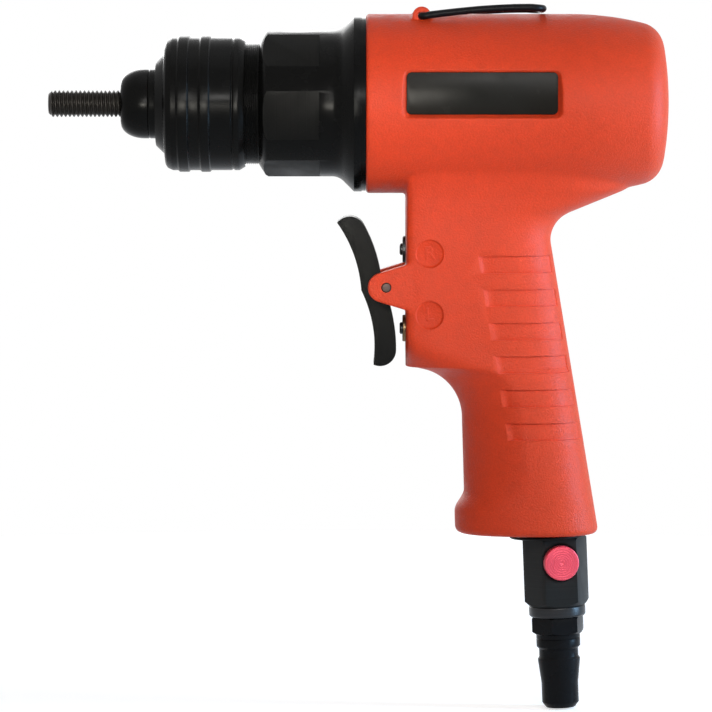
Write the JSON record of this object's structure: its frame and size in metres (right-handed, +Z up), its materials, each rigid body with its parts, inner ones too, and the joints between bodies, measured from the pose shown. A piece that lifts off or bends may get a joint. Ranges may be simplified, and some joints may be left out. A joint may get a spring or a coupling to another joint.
{
  "type": "rivet nut tool",
  "caption": "Pneumatic pistol-grip rivet nut tool with threaded mandrel, adjusting collar, rocker trigger, wire hanger and quick-connect air plug.",
  "frame": {"origin": "the centre of the anvil's front face on the spindle axis", "axes": "the spindle is along X with the nose towards -X; +Z is up; the plate is on the -Y side"},
  "size_m": [0.185, 0.0534, 0.2111],
  "materials": {
    "red_coat": "finely textured orange-red coat on a casting",
    "plate_black": "glossy black plate, blank",
    "black_oxide": "turned and black-oxide finished",
    "mandrel_steel": "dark phosphated thread",
    "steel": "ground steel",
    "dark_steel": "blackened steel",
    "vane_resin": "cloth-filled resin",
    "black_rubber": "matt rubber",
    "trigger_black": "moulded satin black",
    "brass": "turned brass",
    "wire_black": "black coated wire",
    "bushing_black": "blackened hex bar with bright edges",
    "red_anodised": "red anodised, turned face",
    "plug_black": "smooth blackened steel"
  },
  "bodies": {
    "body": {"housing": "red_coat", "name_plate": "plate_black", "front_housing": "black_oxide", "thrust_nut": "steel", "thrust_bearing": "steel", "spindle_bearing_outer": "steel", "ring_gear": "steel", "front_end_plate": "steel", "motor_cylinder": "steel", "rear_end_plate": "steel", "front_rotor_bearing_outer": "steel", "rear_rotor_bearing_outer": "steel", "motor_cushion": "black_rubber", "trigger_pin": "steel", "forward_valve_bush": "brass", "reverse_valve_bush": "brass", "forward_valve_spring": "steel", "reverse_valve_spring": "steel", "exhaust_deflector": "dark_steel", "exhaust_silencer": "brass", "inlet_bushing": "bushing_black", "regulator_ring": "steel", "plug_seal_ring": "plug_black", "air_plug": "plug_black"},
    "nose": {"anvil": "black_oxide"},
    "collar": {"adjusting_collar": "black_oxide", "anvil_ring": "steel"},
    "spindle": {"mandrel": "mandrel_steel", "thrust_race": "steel", "spindle": "steel", "spindle_bearing_inner": "steel", "planet_pins": "steel"},
    "planet_1": {"planet_gear_1": "steel"},
    "planet_2": {"planet_gear_2": "steel"},
    "planet_3": {"planet_gear_3": "steel"},
    "rotor": {"sun_gear": "steel", "rotor": "steel", "rotor_vanes": "vane_resin", "front_rotor_bearing_inner": "steel", "rear_rotor_bearing_inner": "steel"},
    "trigger": {"trigger": "trigger_black"},
    "forward_valve": {"forward_valve_stem": "dark_steel"},
    "reverse_valve": {"reverse_valve_stem": "dark_steel"},
    "bail": {"hanger_bail": "wire_black"},
    "regulator": {"regulator_knob": "red_anodised", "regulator_spool": "steel"}
  },
  "joints": [
    {"name": "spindle_spin", "type": "hinge", "parent": "body", "child": "spindle", "pos_m": [0, 0, 0], "axis": [1, 0, 0], "continuous": true},
    {"name": "rotor_spin", "type": "hinge", "parent": "body", "child": "rotor", "pos_m": [0.1, 0, 0], "axis": [1, 0, 0], "continuous": true},
    {"name": "planet_1_spin", "type": "hinge", "parent": "spindle", "child": "planet_1", "pos_m": [0.07467, 0.012, 0], "axis": [1, 0, 0], "continuous": true},
    {"name": "planet_2_spin", "type": "hinge", "parent": "spindle", "child": "planet_2", "pos_m": [0.07467, -0.006, 0.01039], "axis": [1, 0, 0], "continuous": true},
    {"name": "planet_3_spin", "type": "hinge", "parent": "spindle", "child": "planet_3", "pos_m": [0.07467, -0.006, -0.01039], "axis": [1, 0, 0], "continuous": true},
    {"name": "nose_slide", "type": "slide", "parent": "body", "child": "nose", "axis": [1, 0, 0], "range_m": [-0.0015, 0.0015]},
    {"name": "collar_turn", "type": "hinge", "parent": "nose", "child": "collar", "pos_m": [0.025, 0, 0], "axis": [1, 0, 0], "range_deg": [-360, 360]},
    {"name": "trigger_rock", "type": "hinge", "parent": "body", "child": "trigger", "pos_m": [0.07917, 0, -0.05445], "axis": [0, 1, 0], "range_deg": [-5, 34], "stiffness_Nm_per_rad": 0.2},
    {"name": "forward_push", "type": "slide", "parent": "body", "child": "forward_valve", "axis": [1, 0, 0], "range_m": [-0.0003, 0.0015], "deforming": ["forward_valve_spring"]},
    {"name": "reverse_push", "type": "slide", "parent": "body", "child": "reverse_valve", "axis": [1, 0, 0], "range_m": [-0.0015, 0.0003], "deforming": ["reverse_valve_spring"]},
    {"name": "bail_swing", "type": "hinge", "parent": "body", "child": "bail", "pos_m": [0.08967, 0, 0.0259], "axis": [0, -1, 0], "range_deg": [0, 110]},
    {"name": "regulator_turn", "type": "hinge", "parent": "body", "child": "regulator", "pos_m": [0.13018, 0, -0.13699], "axis": [0.1391, -0.9903, 0.0056], "range_deg": [0, 90]}
  ],
  "couplings": [
    {"joint": "rotor_spin", "follows": "spindle_spin", "ratio": 4},
    {"joint": "planet_1_spin", "follows": "spindle_spin", "ratio": -3},
    {"joint": "planet_2_spin", "follows": "spindle_spin", "ratio": -3},
    {"joint": "planet_3_spin", "follows": "spindle_spin", "ratio": -3},
    {"joint": "nose_slide", "follows": "collar_turn", "m_per_rad": 0.00023873},
    {"joint": "forward_push", "follows": "trigger_rock", "m_per_rad": 0.0022918},
    {"joint": "reverse_push", "follows": "trigger_rock", "m_per_rad": -0.0022918}
  ]
}
